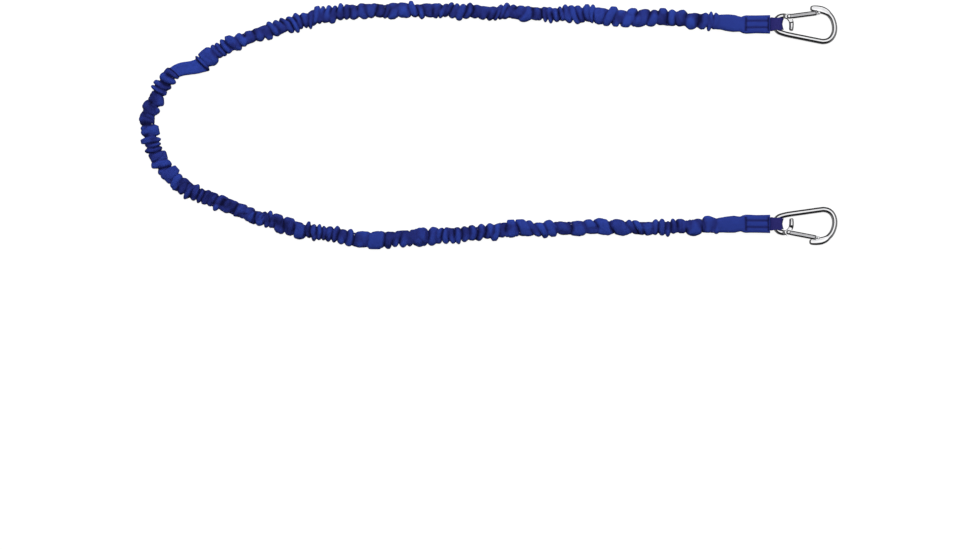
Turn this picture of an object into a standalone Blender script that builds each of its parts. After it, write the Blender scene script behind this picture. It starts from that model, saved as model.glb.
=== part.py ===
"""Shock-absorbing lanyard: a gathered tubular sleeve over an elastic core, with a steel snap hook at each end.

It lies flat on a surface in a U. +X points to the hooks, +Y from the lower end to the upper end, +Z up.
The origin is on the surface, midway between the two hooks and their webbing loops. Units are metres.
"""
import math

import bmesh
import bpy
from mathutils import Matrix, Vector

MM = 0.001

# The two sewn ends
MOUTH_X = -27.6 * MM            # where the sleeve stops and the webbing loop comes out
UPPER_Y = 130.5 * MM
LOWER_Y = -128.8 * MM
CENTRE_Z = 4.75 * MM            # height of the sleeve's centre above the surface
BLOCK_LENGTH = 34.0 * MM        # the stitched stretch behind the mouth
BLOCK_WIDTH = 24.0 * MM
BLOCK_HEIGHT = 8.6 * MM
SMOOTH_END = 64.0 * MM          # distance from the mouth where the gathers start
SMOOTH_WIDTH = 20.0 * MM
SMOOTH_HEIGHT = 9.0 * MM
TAPER = 7.0 * MM

# Sleeve and what runs inside it
SLEEVE_WIDTH = 19.5 * MM
SLEEVE_HEIGHT = 9.5 * MM
SLEEVE_WALL = 1.2 * MM          # smooth cloth, up to where the gathers start
GATHERED_WALL = 1.7 * MM        # mean thickness of the folded cloth
SLEEVE_SIDES = 16
SLEEVE_STEP = 27.0 * MM
STRAP_WIDTH = 13.0 * MM
STRAP_THICKNESS = 1.6 * MM
STRAP_INSET = 4.0 * MM          # its end lies this far inside the mouth
ELASTIC_RADIUS = 0.9 * MM
ELASTIC_SPREAD = 3.5 * MM       # sideways offset of each elastic cord
ELASTIC_RISE = 1.9 * MM
ELASTIC_INSET = 40.0 * MM
GAP = 0.3 * MM

# Webbing loops and their sewing
LOOP_WIDTH = 16.0 * MM
LOOP_THICKNESS = 1.6 * MM
LOOP_NARROWING = 1.1 * MM       # each edge draws in by this where it passes inside the rod
LOOP_LEG = 33.0 * MM
LEG_SPREAD = 1.85 * MM          # each leg lies this far above or below the strap
LOOP_HOLLOW = 2.2 * MM          # how much further the loop's edges reach than its middle
THREAD_WIDTH = 0.8 * MM
NEEDLE_HEIGHT = 0.4 * MM        # thread on the upper face
BOBBIN_HEIGHT = 0.2 * MM        # thread on the lower face
SEAM_SPREAD = 3.8 * MM
SEAM_NEAR = 2.2 * MM            # first cross row, from the mouth
SEAM_FAR = 31.5 * MM

# Hooks, in a frame at the centre of the small end: +x to the wide end, +y to the spine
ROD_SIDES = 16
ROD_STEP = 3.2 * MM
EYE_X = MOUTH_X + 16.6 * MM     # centre of the small end
PIVOT = Vector((-10.2, 0.0, 0.0)) * MM
PIVOT_Z = 5.6 * MM
TILT = math.radians(1.5)        # the wide end rests on the surface, the small end on its webbing
UPPER_YAW = math.radians(-3.2)
HINGE = Vector((7.4, -11.0, 0.0)) * MM
GATE_SLOPE = math.radians(-10.8)
GATE_OPENING = math.radians(26.0)
GATE_WIDTH = 6.1 * MM
GATE_DEPTH = 7.0 * MM
GATE_END = 36.4 * MM
GATE_SLOT_END = 8.3 * MM
GATE_SLOT = 3.8 * MM
LUG_THICKNESS = 3.2 * MM
CAM_RADIUS = 4.6 * MM
CAM_RISE = 1.2 * MM             # the cam grows by this over the gate's whole swing
PIVOT_BORE = 1.55 * MM
RIVET_RADIUS = 1.25 * MM
BORE_RADIUS = 1.35 * MM
BORE_END = 24.0 * MM
PLUNGER_RADIUS = 1.05 * MM
PLUNGER_TAIL = 14.0 * MM
SPRING_RADIUS = 0.85 * MM
SPRING_WIRE = 0.22 * MM
SPRING_TURNS = 8
LATCH_U = 39.6 * MM             # latch pin's distance from the hinge
LATCH_RADIUS = 1.3 * MM
LATCH_HALF = 2.9 * MM
NECK_RADIUS = 2.6 * MM
NECK_THICKNESS = 2.6 * MM

# The sleeve's route on the surface, from the upper mouth round the bend to the lower mouth
ROUTE = [
    (MOUTH_X, UPPER_Y), (-0.045, UPPER_Y), (-0.064, UPPER_Y), (-0.096, 0.134), (-0.129, 0.137),
    (-0.195, 0.139), (-0.261, 0.143), (-0.327, 0.145), (-0.393, 0.146), (-0.460, 0.149),
    (-0.526, 0.149), (-0.560, 0.148), (-0.593, 0.145), (-0.625, 0.138), (-0.657, 0.128),
    (-0.689, 0.118), (-0.716, 0.110), (-0.738, 0.099), (-0.756, 0.088), (-0.765, 0.080),
    (-0.777, 0.075), (-0.793, 0.072), (-0.804, 0.066), (-0.812, 0.056), (-0.821, 0.042),
    (-0.830, 0.026), (-0.834, 0.008), (-0.833, -0.012), (-0.829, -0.031), (-0.820, -0.048),
    (-0.808, -0.064), (-0.793, -0.078), (-0.773, -0.090), (-0.747, -0.101), (-0.718, -0.112),
    (-0.686, -0.122), (-0.654, -0.132), (-0.622, -0.139), (-0.589, -0.144), (-0.556, -0.148),
    (-0.522, -0.148), (-0.456, -0.144), (-0.390, -0.138), (-0.324, -0.135), (-0.257, -0.132),
    (-0.191, -0.133), (-0.125, -0.132), (-0.064, LOWER_Y), (-0.045, LOWER_Y), (MOUTH_X, LOWER_Y),
]

# The hook's rod from its nose to the tip of the finger that closes the eye:
# x, y, width in the hook's plane, thickness across it, in millimetres
ROD_STATIONS = [
    (35.4, -23.4, 5.0, 4.4), (36.4, -23.4, 6.8, 5.4), (39.0, -23.3, 8.2, 5.8),
    (44.0, -22.9, 9.4, 5.8), (50.0, -22.0, 9.8, 5.8), (55.3, -20.2, 8.8, 6.2),
    (59.6, -17.2, 7.2, 7.0), (64.1, -12.0, 7.0, 7.0), (67.0, -5.0, 7.0, 7.0),
    (68.0, 1.5, 7.0, 7.0), (67.3, 7.6, 7.0, 7.0), (64.6, 13.3, 7.0, 7.0),
    (60.1, 17.1, 7.0, 7.0), (54.6, 18.6, 7.0, 7.0), (49.0, 18.3, 7.0, 7.0),
    (26.0, 15.1, 7.0, 7.0), (9.0, 12.7, 7.0, 7.0), (2.0, 11.3, 7.0, 7.0),
    (-4.6, 9.2, 7.0, 7.0), (-8.8, 5.2, 7.0, 7.0), (-10.2, 0.0, 7.0, 7.0),
    (-9.0, -5.4, 7.0, 7.0), (-5.2, -9.6, 7.0, 7.0), (-0.6, -11.2, 7.0, 6.8),
    (2.6, -11.4, 6.4, 3.0), (6.8, -10.0, 6.2, 3.0), (10.0, -6.4, 6.0, 3.0),
    (10.9, -4.4, 6.0, 3.2), (11.4, -2.2, 6.2, 6.0), (11.6, 2.0, 6.0, 6.0),
    (11.4, 5.8, 5.6, 5.6), (11.3, 6.6, 4.6, 4.6),
]


def clear_scene():
    for obj in list(bpy.data.objects):
        bpy.data.objects.remove(obj, do_unlink=True)


def material(name, colour, roughness, metallic):
    mat = bpy.data.materials.new(name)
    mat.use_nodes = True
    shader = mat.node_tree.nodes["Principled BSDF"]
    shader.inputs["Base Color"].default_value = (*colour, 1.0)
    shader.inputs["Roughness"].default_value = roughness
    shader.inputs["Metallic"].default_value = metallic
    mat.diffuse_color = (*colour, 1.0)
    return mat


def mesh_object(name, bm, mat, flip=False):
    """One object from a bmesh; flip mirrors it in y, as the upper hook is the lower one turned over."""
    if flip:
        bmesh.ops.scale(bm, vec=(1.0, -1.0, 1.0), verts=bm.verts)
    bmesh.ops.recalc_face_normals(bm, faces=bm.faces)
    mesh = bpy.data.meshes.new(name)
    bm.to_mesh(mesh)
    bm.free()
    mesh.shade_smooth()
    mesh.set_sharp_from_angle(angle=math.radians(40))
    obj = bpy.data.objects.new(name, mesh)
    obj.data.materials.append(mat)
    bpy.context.scene.collection.objects.link(obj)
    return obj


def smooth_curve(points, step):
    """Points about a step apart on a smooth curve through the given ones, each with as many values as they have."""
    size = len(points[0])
    ends = [[2 * points[0][k] - points[1][k] for k in range(size)]]
    ends += [list(p) for p in points]
    ends += [[2 * points[-1][k] - points[-2][k] for k in range(size)]]
    curve = []
    for i in range(1, len(ends) - 2):
        before, start, end, after = ends[i - 1:i + 3]
        length = math.dist(start[:2], end[:2])
        count = max(1, round(length / step))
        for j in range(count):
            t = j / count
            row = []
            for k in range(size):
                if k < 2:
                    row.append(0.5 * (
                        2 * start[k] + (end[k] - before[k]) * t
                        + (2 * before[k] - 5 * start[k] + 4 * end[k] - after[k]) * t * t
                        + (3 * start[k] - before[k] - 3 * end[k] + after[k]) * t ** 3))
                else:
                    row.append(start[k] + (end[k] - start[k]) * t)
            curve.append(row)
    curve.append(list(points[-1]))
    return curve


def side_directions(path):
    """The unit vector to the left of a flat path at each of its points."""
    directions = []
    for i in range(len(path)):
        a = path[max(i - 1, 0)]
        b = path[min(i + 1, len(path) - 1)]
        along = Vector((b[0] - a[0], b[1] - a[1], 0.0)).normalized()
        directions.append(Vector((-along.y, along.x, 0.0)))
    return directions


def oval(width, height, sides, power):
    """A rounded section whose flats, not its corners, lie at half the width and half the height."""
    points = []
    for i in range(sides):
        angle = (i + 0.5) * 2 * math.pi / sides
        c, s = math.cos(angle), math.sin(angle)
        points.append((math.copysign(abs(c) ** (2 / power), c), math.copysign(abs(s) ** (2 / power), s)))
    reach = max(p[0] for p in points)
    return [(p[0] / reach * width / 2, p[1] / reach * height / 2) for p in points]


def add_ring(bm, centre, side, section):
    """One ring of vertices: the section's first value goes sideways, its second goes up."""
    return [bm.verts.new(centre + side * p[0] + Vector((0.0, 0.0, p[1]))) for p in section]


def bridge(bm, rings):
    """Quads between each ring and the next."""
    for a, b in zip(rings, rings[1:]):
        for i in range(len(a)):
            j = (i + 1) % len(a)
            bm.faces.new((a[i], a[j], b[j], b[i]))


def solid_sweep(rings_of, count):
    """A capped solid from count rings, each made by rings_of(bm, index)."""
    bm = bmesh.new()
    rings = [rings_of(bm, i) for i in range(count)]
    bridge(bm, rings)
    bm.faces.new(list(reversed(rings[0])))
    bm.faces.new(rings[-1])
    return bm


def plate(outline, low, high):
    """A flat outline of (x, y) points, extruded from height low to height high."""
    bm = bmesh.new()
    face = bm.faces.new([bm.verts.new((p[0], p[1], low)) for p in outline])
    raised = bmesh.ops.extrude_face_region(bm, geom=[face])["geom"]
    top = [v for v in raised if isinstance(v, bmesh.types.BMVert)]
    bmesh.ops.translate(bm, vec=(0.0, 0.0, high - low), verts=top)
    return bm


def turned(profile, sides):
    """A solid turned about its own z axis; the profile is (radius, z) points, both ends on the axis."""
    bm = bmesh.new()
    rings = []
    for r, z in profile[1:-1]:
        angles = [2 * math.pi * i / sides for i in range(sides)]
        rings.append([bm.verts.new((r * math.cos(a), r * math.sin(a), z)) for a in angles])
    bridge(bm, rings)
    for ring, z in ((rings[0], profile[0][1]), (rings[-1], profile[-1][1])):
        tip = bm.verts.new((0.0, 0.0, z))
        for i in range(sides):
            bm.faces.new((ring[i], ring[(i + 1) % sides], tip))
    return bm


def arc(centre, radius, start, end, count):
    """Points on an arc, with the angles in degrees."""
    angles = [math.radians(start + (end - start) * i / (count - 1)) for i in range(count)]
    return [(centre[0] + radius * math.cos(a), centre[1] + radius * math.sin(a)) for a in angles]


def boolean(obj, other, operation):
    """Cut or join with another object, which is then only a guide."""
    modifier = obj.modifiers.new(operation.title(), "BOOLEAN")
    modifier.operation = operation
    modifier.object = other
    other.hide_render = True
    other.display_type = "WIRE"


# ---- sleeve and core ----

def route_with_ends():
    """The route from mouth to mouth, with extra points where the section changes near each end."""
    marks = [0.0, BLOCK_LENGTH, BLOCK_LENGTH + TAPER]
    start = [(MOUTH_X - d, UPPER_Y) for d in marks]
    curve = smooth_curve(ROUTE, SLEEVE_STEP)
    lengths = [0.0]
    for a, b in zip(curve, curve[1:]):
        lengths.append(lengths[-1] + math.dist(a, b))
    total = lengths[-1]
    inner = [p for p, s in zip(curve, lengths) if SMOOTH_END * 1.3 < s < total - SMOOTH_END * 1.3]
    near = smooth_curve(ROUTE[2:5], TAPER)
    far = smooth_curve(ROUTE[-5:-2], TAPER)
    first = [p for p in near if MOUTH_X - 76 * MM < p[0] < MOUTH_X - 45 * MM]
    last = [p for p in far if MOUTH_X - 76 * MM < p[0] < MOUTH_X - 45 * MM]
    end = [(x, LOWER_Y) for x, _ in reversed(start)]
    return [tuple(p[:2]) for p in start + first + inner + last + end]


def end_distances(path):
    """How far along the route each point is from the nearer mouth."""
    lengths = [0.0]
    for a, b in zip(path, path[1:]):
        lengths.append(lengths[-1] + math.dist(a, b))
    return [min(s, lengths[-1] - s) for s in lengths]


def ramp(value, points):
    """Straight-line values between (distance, value) pairs."""
    for (a, low), (b, high) in zip(points, points[1:]):
        if value <= b:
            return low + (high - low) * max(0.0, (value - a) / (b - a))
    return points[-1][1]


def sleeve_size(distance):
    """Width, height, squareness and wall of the sleeve's section at a distance from the nearer mouth."""
    stops = (0.0, BLOCK_LENGTH, BLOCK_LENGTH + TAPER, SMOOTH_END, SMOOTH_END + TAPER)
    widths = (BLOCK_WIDTH, BLOCK_WIDTH, SMOOTH_WIDTH, SMOOTH_WIDTH, SLEEVE_WIDTH)
    heights = (BLOCK_HEIGHT, BLOCK_HEIGHT, SMOOTH_HEIGHT, SMOOTH_HEIGHT, SLEEVE_HEIGHT)
    powers = (6.0, 6.0, 4.0, 3.5, 2.6)
    walls = (SLEEVE_WALL, SLEEVE_WALL, SLEEVE_WALL, SLEEVE_WALL, GATHERED_WALL)
    return [ramp(distance, list(zip(stops, values))) for values in (widths, heights, powers, walls)]


def make_sleeve(blue):
    path = route_with_ends()
    sides = side_directions(path)
    distances = end_distances(path)
    bm = bmesh.new()
    outer, inner = [], []
    for point, side, distance in zip(path, sides, distances):
        centre = Vector((point[0], point[1], CENTRE_Z))
        width, height, power, wall = sleeve_size(distance)
        outer.append(add_ring(bm, centre, side, oval(width, height, SLEEVE_SIDES, power)))
        bore = oval(width - 2 * wall, height - 2 * wall, SLEEVE_SIDES, power)
        inner.append(add_ring(bm, centre, side, bore))
    bridge(bm, outer)
    bridge(bm, inner)
    for a, b in ((outer[0], inner[0]), (outer[-1], inner[-1])):
        bridge(bm, [a, b])
    mesh_object("outer_sleeve", bm, blue)


def trimmed(path, inset):
    """The route without the stretch within inset of each mouth, ending exactly there."""
    limit = MOUTH_X - inset
    kept = [p for p in path if p[0] < limit - MM]
    return [(limit, UPPER_Y)] + kept + [(limit, LOWER_Y)]


def make_core(navy, rubber):
    path = trimmed(route_with_ends(), STRAP_INSET)
    sides = side_directions(path)
    strap = [(-STRAP_WIDTH / 2, -STRAP_THICKNESS / 2), (STRAP_WIDTH / 2, -STRAP_THICKNESS / 2),
             (STRAP_WIDTH / 2, STRAP_THICKNESS / 2), (-STRAP_WIDTH / 2, STRAP_THICKNESS / 2)]

    def strap_ring(bm, i):
        centre = Vector((path[i][0], path[i][1], CENTRE_Z))
        return add_ring(bm, centre, sides[i], strap)

    mesh_object("energy_absorbing_strap", solid_sweep(strap_ring, len(path)), navy)

    run = trimmed(route_with_ends(), ELASTIC_INSET)
    turns = side_directions(run)
    cord = [(ELASTIC_RADIUS * math.cos(math.pi * k / 3), ELASTIC_RADIUS * math.sin(math.pi * k / 3))
            for k in range(6)]
    for name, offset in (("elastic_cord_inner", ELASTIC_SPREAD), ("elastic_cord_outer", -ELASTIC_SPREAD)):

        def cord_ring(bm, i, offset=offset):
            centre = Vector((run[i][0], run[i][1], CENTRE_Z + ELASTIC_RISE)) + turns[i] * offset
            return add_ring(bm, centre, turns[i], cord)

        mesh_object(name, solid_sweep(cord_ring, len(run)), rubber)


# ---- webbing loops and sewing ----

def loop_path():
    """The loop's centreline as (distance past the mouth, height): lower leg, bight, upper leg."""
    leg = LEG_SPREAD
    low, high = CENTRE_Z - leg, CENTRE_Z + leg
    half = PIVOT_Z - LOOP_THICKNESS / 2 - 0.1 * MM
    bottom, top = PIVOT_Z - half, PIVOT_Z + half
    reach = 15.4 * MM
    points = [(-LOOP_LEG, low), (-16 * MM, low), (0.6 * MM, low), (2.0 * MM, low - 0.6 * MM),
              (4.0 * MM, bottom + 0.2 * MM), (6.6 * MM, bottom), (11.0 * MM, bottom)]
    bend = arc((11.0 * MM, PIVOT_Z), 1.0, -90, 90, 9)[1:-1]
    for x, z in bend:
        points.append((11.0 * MM + (x - 11.0 * MM) * (reach - 11.0 * MM), PIVOT_Z + (z - PIVOT_Z) * half))
    points += [(11.0 * MM, top), (6.6 * MM, top), (4.2 * MM, top - 0.5 * MM), (1.8 * MM, high + 1.9 * MM),
               (0.6 * MM, high + 0.6 * MM), (-0.8 * MM, high), (-16 * MM, high), (-LOOP_LEG, high)]
    return points


def make_loop(name, end_y, navy):
    path = loop_path()
    across = [-1.0, -0.5, 0.0, 0.5, 1.0]
    bm = bmesh.new()
    rings = []
    for i, (x, z) in enumerate(path):
        a, b = path[max(i - 1, 0)], path[min(i + 1, len(path) - 1)]
        along = Vector((b[0] - a[0], 0.0, b[1] - a[1])).normalized()
        out = Vector((along.z, 0.0, -along.x))
        share = min(1.0, max(0.0, (x - 8.0 * MM) / (7.4 * MM)))
        hollow = LOOP_HOLLOW * share
        half = LOOP_WIDTH / 2 - LOOP_NARROWING * min(1.0, 2 * share)
        ring = []
        for offset, order in ((LOOP_THICKNESS / 2, across), (-LOOP_THICKNESS / 2, across[::-1])):
            for k in order:
                centre = Vector((MOUTH_X + x + hollow * k * k, end_y + k * half, z))
                ring.append(bm.verts.new(centre + out * offset))
        rings.append(ring)
    bridge(bm, rings)
    for ring in (rings[0], rings[-1]):
        for k in range(4):
            bm.faces.new((ring[k], ring[k + 1], ring[8 - k], ring[9 - k]))
    mesh_object(name, bm, navy)


def make_thread(name, end_y, low, height, thread):
    """One run of lock stitch: a rectangle of thread lying on the sewn block."""
    bm = bmesh.new()
    rings = []
    for grow in (THREAD_WIDTH / 2, -THREAD_WIDTH / 2):
        left, right = MOUTH_X - SEAM_FAR - grow, MOUTH_X - SEAM_NEAR + grow
        near, far = end_y - SEAM_SPREAD - grow, end_y + SEAM_SPREAD + grow
        corners = ((left, near), (right, near), (right, far), (left, far))
        rings.append([[bm.verts.new((x, y, z)) for x, y in corners] for z in (low, low + height)])
    (outer_low, outer_high), (inner_low, inner_high) = rings
    bridge(bm, [outer_low, outer_high, inner_high, inner_low, outer_low])
    mesh_object(name, bm, thread)


# ---- hooks ----

def along_gate(u, v):
    """A point u along the closed gate from its hinge and v towards the hook's inside."""
    c, s = math.cos(GATE_SLOPE), math.sin(GATE_SLOPE)
    return HINGE.x + u * c - v * s, HINGE.y + u * s + v * c


def make_rod(name, steel, flip):
    stations = [[value * MM for value in station] for station in ROD_STATIONS]
    curve = smooth_curve(stations, ROD_STEP)
    sides = side_directions(curve)

    def rod_ring(bm, i):
        x, y, width, thickness = curve[i]
        power = 2.0 if abs(width - thickness) < 0.5 * MM else 3.0
        return add_ring(bm, Vector((x, y, 0.0)), sides[i], oval(width, thickness, ROD_SIDES, power))

    return mesh_object(name, solid_sweep(rod_ring, len(curve)), steel, flip)


def make_lug(name, steel, flip):
    """The flat lug that carries the hinge; its edge is a cam that grows with the gate's angle."""
    first, last = math.degrees(GATE_SLOPE) - 4, math.degrees(GATE_SLOPE + GATE_OPENING) + 4
    outline = arc(HINGE, CAM_RADIUS, -118, first - 6, 10)
    count = 7
    for i in range(count):
        angle = first + (last - first) * i / (count - 1)
        share = (math.radians(angle) - GATE_SLOPE) / GATE_OPENING
        radius = CAM_RADIUS + CAM_RISE * max(0.0, share)
        outline += arc(HINGE, radius, angle, angle, 2)[:1]
    outline += [(11.2 * MM, -7.4 * MM), (8.0 * MM, -8.4 * MM), (4.0 * MM, -11.0 * MM)]
    return mesh_object(name, plate(outline, -LUG_THICKNESS / 2, LUG_THICKNESS / 2), steel, flip)


def hook_cutters():
    """What is cut from the hook's body: name, bmesh."""
    reach = 12 * MM
    bore = plate(arc(HINGE, PIVOT_BORE, 0, 345, 24), -reach, reach)
    landing = [along_gate(u, v) for u, v in (
        (20 * MM, -3.45 * MM), (37.0 * MM, -3.45 * MM), (37.0 * MM, 8 * MM), (20 * MM, 8 * MM))]
    seat = LATCH_RADIUS + GAP + 0.05 * MM
    latch = along_gate(LATCH_U, 0.0)
    lean = math.degrees(GATE_SLOPE)
    notch = arc(latch, seat, lean + 180, lean + 360, 11)
    notch += [along_gate(LATCH_U + seat, 8 * MM), along_gate(LATCH_U - seat, 8 * MM)]
    neck_seat = NECK_RADIUS + 0.4 * MM
    neck = arc(latch, neck_seat, lean + 270, lean + 360, 8)
    neck += [along_gate(LATCH_U + neck_seat, 8 * MM), along_gate(36.0 * MM, 8 * MM),
             along_gate(36.0 * MM, -neck_seat)]
    mark = [(11.1 * MM, 2.2 * MM), (11.9 * MM, 2.2 * MM), (11.9 * MM, 4.7 * MM), (11.1 * MM, 4.7 * MM)]
    return [
        ("cut_hinge_bore", bore),
        ("cut_gate_landing", plate(landing, -reach, reach)),
        ("cut_latch_notch", plate(notch, -reach, reach)),
        ("cut_neck_slot", plate(neck, -1.6 * MM, 1.6 * MM)),
        ("cut_finger_mark", plate(mark, 2.4 * MM, reach)),
    ]


def gate_outline():
    """The closed gate seen square to the hook, with its origin on the hinge and +x along it."""
    half = GATE_WIDTH / 2
    outline = arc((0.0, 0.0), half, 90, 270, 13)
    outline += [(GATE_END - 0.8 * MM, -half), (GATE_END, -half + 0.8 * MM)]
    outline += [(GATE_END, half - 0.8 * MM), (GATE_END - 0.8 * MM, half)]
    return outline


def make_gate(name, steel, flip):
    half = GATE_DEPTH / 2
    bm = plate(gate_outline(), -half, half)
    rims = [e for e in bm.edges if abs(e.verts[0].co.z - e.verts[1].co.z) < 1e-7]
    bmesh.ops.bevel(bm, geom=rims, offset=0.9 * MM, segments=3, profile=0.5, affect="EDGES")
    gate = mesh_object(name, bm, steel, flip)
    neck = [(30 * MM, -NECK_RADIUS)] + arc((LATCH_U, 0.0), NECK_RADIUS, -90, 90, 11)
    neck += [(30 * MM, NECK_RADIUS)]
    tongue = mesh_object(name + "_neck", plate(neck, -NECK_THICKNESS / 2, NECK_THICKNESS / 2), steel, flip)
    reach = 12 * MM
    slot = [(-reach, -reach), (GATE_SLOT_END, -reach), (GATE_SLOT_END, reach), (-reach, reach)]
    depth = BORE_END - 6 * MM
    bore = lengthwise(turned([(0, 0), (BORE_RADIUS, 0), (BORE_RADIUS, depth), (0, depth)], 16), 6 * MM)
    cutters = [
        ("cut_fork", plate(slot, -GATE_SLOT / 2, GATE_SLOT / 2)),
        ("cut_rivet", plate(arc((0.0, 0.0), PIVOT_BORE, 0, 345, 24), -reach, reach)),
        ("cut_spring_bore", bore),
        ("cut_latch", plate(arc((LATCH_U, 0.0), LATCH_RADIUS + GAP, 0, 337.5, 16), -reach, reach)),
    ]
    boolean(gate, tongue, "UNION")
    guides = [tongue]
    for cutter_name, cutter in cutters:
        tool = mesh_object(f"{name}_{cutter_name}", cutter, steel, flip)
        boolean(gate, tool, "DIFFERENCE")
        guides.append(tool)
    return gate, guides


def lengthwise(bm, start):
    """Turn a solid made about z so that it lies along the gate, starting at a distance from the hinge."""
    bmesh.ops.rotate(bm, matrix=Matrix.Rotation(math.pi / 2, 3, "Y"), verts=bm.verts)
    bmesh.ops.translate(bm, vec=(start, 0.0, 0.0), verts=bm.verts)
    return bm


def make_spring(name, steel, flip):
    start, end = PLUNGER_TAIL + GAP + SPRING_WIRE, BORE_END - GAP - SPRING_WIRE
    steps = SPRING_TURNS * 9

    def wire_ring(bm, i):
        angle = 2 * math.pi * i * SPRING_TURNS / steps
        out = Vector((0.0, math.cos(angle), math.sin(angle)))
        centre = Vector((start + (end - start) * i / steps, 0.0, 0.0)) + out * SPRING_RADIUS
        ring = []
        for k in range(5):
            turn = 2 * math.pi * k / 5
            ring.append(bm.verts.new(
                centre + out * SPRING_WIRE * math.cos(turn) + Vector((SPRING_WIRE * math.sin(turn), 0, 0))))
        return ring

    return mesh_object(name, solid_sweep(wire_ring, steps + 1), steel, flip)


def make_plunger(name, steel, flip):
    tip = CAM_RADIUS + GAP
    length = PLUNGER_TAIL - tip
    r = PLUNGER_RADIUS
    profile = [(0, 0), (r * 0.55, 0.12 * MM), (r * 0.9, 0.5 * MM), (r, 1.0 * MM), (r, length), (0, length)]
    return mesh_object(name, lengthwise(turned(profile, 12), tip), steel, flip)


def make_rivet(name, steel, flip):
    half, top = GATE_DEPTH / 2 + GAP, GATE_DEPTH / 2 + 1.0 * MM
    r = RIVET_RADIUS
    side = [(0, 0), (1.5 * MM, 0.0), (2.1 * MM, 0.25 * MM), (2.3 * MM, top - half)]
    head = [(radius, top - depth) for radius, depth in side] + [(r, half)]
    profile = [(radius, -z) for radius, z in head] + list(reversed(head))
    return mesh_object(name, turned(profile, 16), steel, flip)


def make_latch_pin(name, steel, flip):
    r, half = LATCH_RADIUS, LATCH_HALF
    profile = [(0, -half), (r * 0.75, -half), (r, -half + 0.3 * MM), (r, half - 0.3 * MM),
               (r * 0.75, half), (0, half)]
    return mesh_object(name, turned(profile, 14), steel, flip)


def make_hook(end, end_y, yaw, flip, steel, dark):
    """One complete hook, hung on an empty that stands on its swing axis in the webbing loop."""
    frame = bpy.data.objects.new("swing_" + end, None)
    bpy.context.scene.collection.objects.link(frame)
    place = Matrix.Translation((EYE_X + PIVOT.x, end_y, PIVOT_Z))
    frame.matrix_world = place @ Matrix.Rotation(TILT, 4, "Y") @ Matrix.Rotation(yaw, 4, "Z")
    body = make_rod("hook_body_" + end, steel, flip)
    lug = make_lug("lug_" + end, steel, flip)
    boolean(body, lug, "UNION")
    on_body = [body, lug]
    for cutter_name, cutter in hook_cutters():
        tool = mesh_object(f"{cutter_name}_{end}", cutter, steel, flip)
        boolean(body, tool, "DIFFERENCE")
        on_body.append(tool)
    for obj in on_body:
        obj.parent = frame
        obj.location = -PIVOT

    side = -1.0 if flip else 1.0
    hinge = bpy.data.objects.new("hinge_" + end, None)
    bpy.context.scene.collection.objects.link(hinge)
    hinge.parent = frame
    hinge.location = (HINGE.x - PIVOT.x, side * HINGE.y, 0.0)
    hinge.rotation_euler = (0.0, 0.0, side * GATE_SLOPE)
    gate, guides = make_gate("gate_" + end, steel, flip)
    latch = make_latch_pin("latch_pin_" + end, steel, flip)
    latch.location = (LATCH_U, 0.0, 0.0)
    moving = [gate, *guides, latch, make_spring("gate_spring_" + end, dark, flip)]
    moving += [make_plunger("spring_plunger_" + end, dark, flip), make_rivet("hinge_rivet_" + end, steel, flip)]
    for obj in moving:
        obj.parent = hinge


def main():
    clear_scene()
    blue = material("sleeve_blue", (0.028, 0.062, 0.33), 0.75, 0.0)
    navy = material("loop_navy", (0.022, 0.018, 0.11), 0.8, 0.0)
    thread = material("thread_blue", (0.03, 0.05, 0.26), 0.6, 0.0)
    rubber = material("elastic", (0.55, 0.55, 0.52), 0.7, 0.0)
    steel = material("polished_steel", (0.72, 0.72, 0.73), 0.14, 1.0)
    dark = material("spring_steel", (0.4, 0.4, 0.42), 0.3, 1.0)
    make_sleeve(blue)
    make_core(navy, rubber)
    over = CENTRE_Z + BLOCK_HEIGHT / 2 + GAP
    under = CENTRE_Z - BLOCK_HEIGHT / 2 - GAP - BOBBIN_HEIGHT
    for end, end_y in (("upper", UPPER_Y), ("lower", LOWER_Y)):
        make_loop("webbing_loop_" + end, end_y, navy)
        make_thread("needle_thread_" + end, end_y, over, NEEDLE_HEIGHT, thread)
        make_thread("bobbin_thread_" + end, end_y, under, BOBBIN_HEIGHT, thread)
    make_hook("upper", UPPER_Y, UPPER_YAW, True, steel, dark)
    make_hook("lower", LOWER_Y, 0.0, False, steel, dark)
    bpy.context.view_layer.update()


main()
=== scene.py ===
"""Looks of the shock-absorbing lanyard: gathered blue tubular webbing, navy loops and polished snap hooks.

Every piece stands where the frame says. Units are metres, +Z is up from the surface that the lanyard lies on.
"""
import math

import bmesh
import bpy
import numpy as np
from mathutils import Matrix, Vector


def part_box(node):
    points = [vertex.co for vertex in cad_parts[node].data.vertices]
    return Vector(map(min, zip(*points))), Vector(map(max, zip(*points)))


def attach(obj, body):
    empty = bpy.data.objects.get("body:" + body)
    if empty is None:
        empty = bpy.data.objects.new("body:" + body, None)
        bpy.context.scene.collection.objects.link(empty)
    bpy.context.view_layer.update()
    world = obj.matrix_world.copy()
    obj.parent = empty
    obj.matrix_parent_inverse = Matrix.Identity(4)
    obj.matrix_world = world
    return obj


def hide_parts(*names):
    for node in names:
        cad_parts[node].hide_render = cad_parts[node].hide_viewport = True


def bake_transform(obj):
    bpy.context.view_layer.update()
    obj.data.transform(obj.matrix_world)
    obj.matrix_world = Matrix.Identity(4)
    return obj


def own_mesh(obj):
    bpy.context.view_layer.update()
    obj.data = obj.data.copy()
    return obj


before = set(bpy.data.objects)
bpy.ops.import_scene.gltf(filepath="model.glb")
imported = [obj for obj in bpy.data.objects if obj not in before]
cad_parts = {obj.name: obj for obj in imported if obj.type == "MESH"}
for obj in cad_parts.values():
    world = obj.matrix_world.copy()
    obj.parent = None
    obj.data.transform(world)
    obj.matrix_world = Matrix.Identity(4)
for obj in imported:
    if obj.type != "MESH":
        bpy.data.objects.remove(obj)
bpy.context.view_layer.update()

MM = 0.001
SEED = 11

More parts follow.
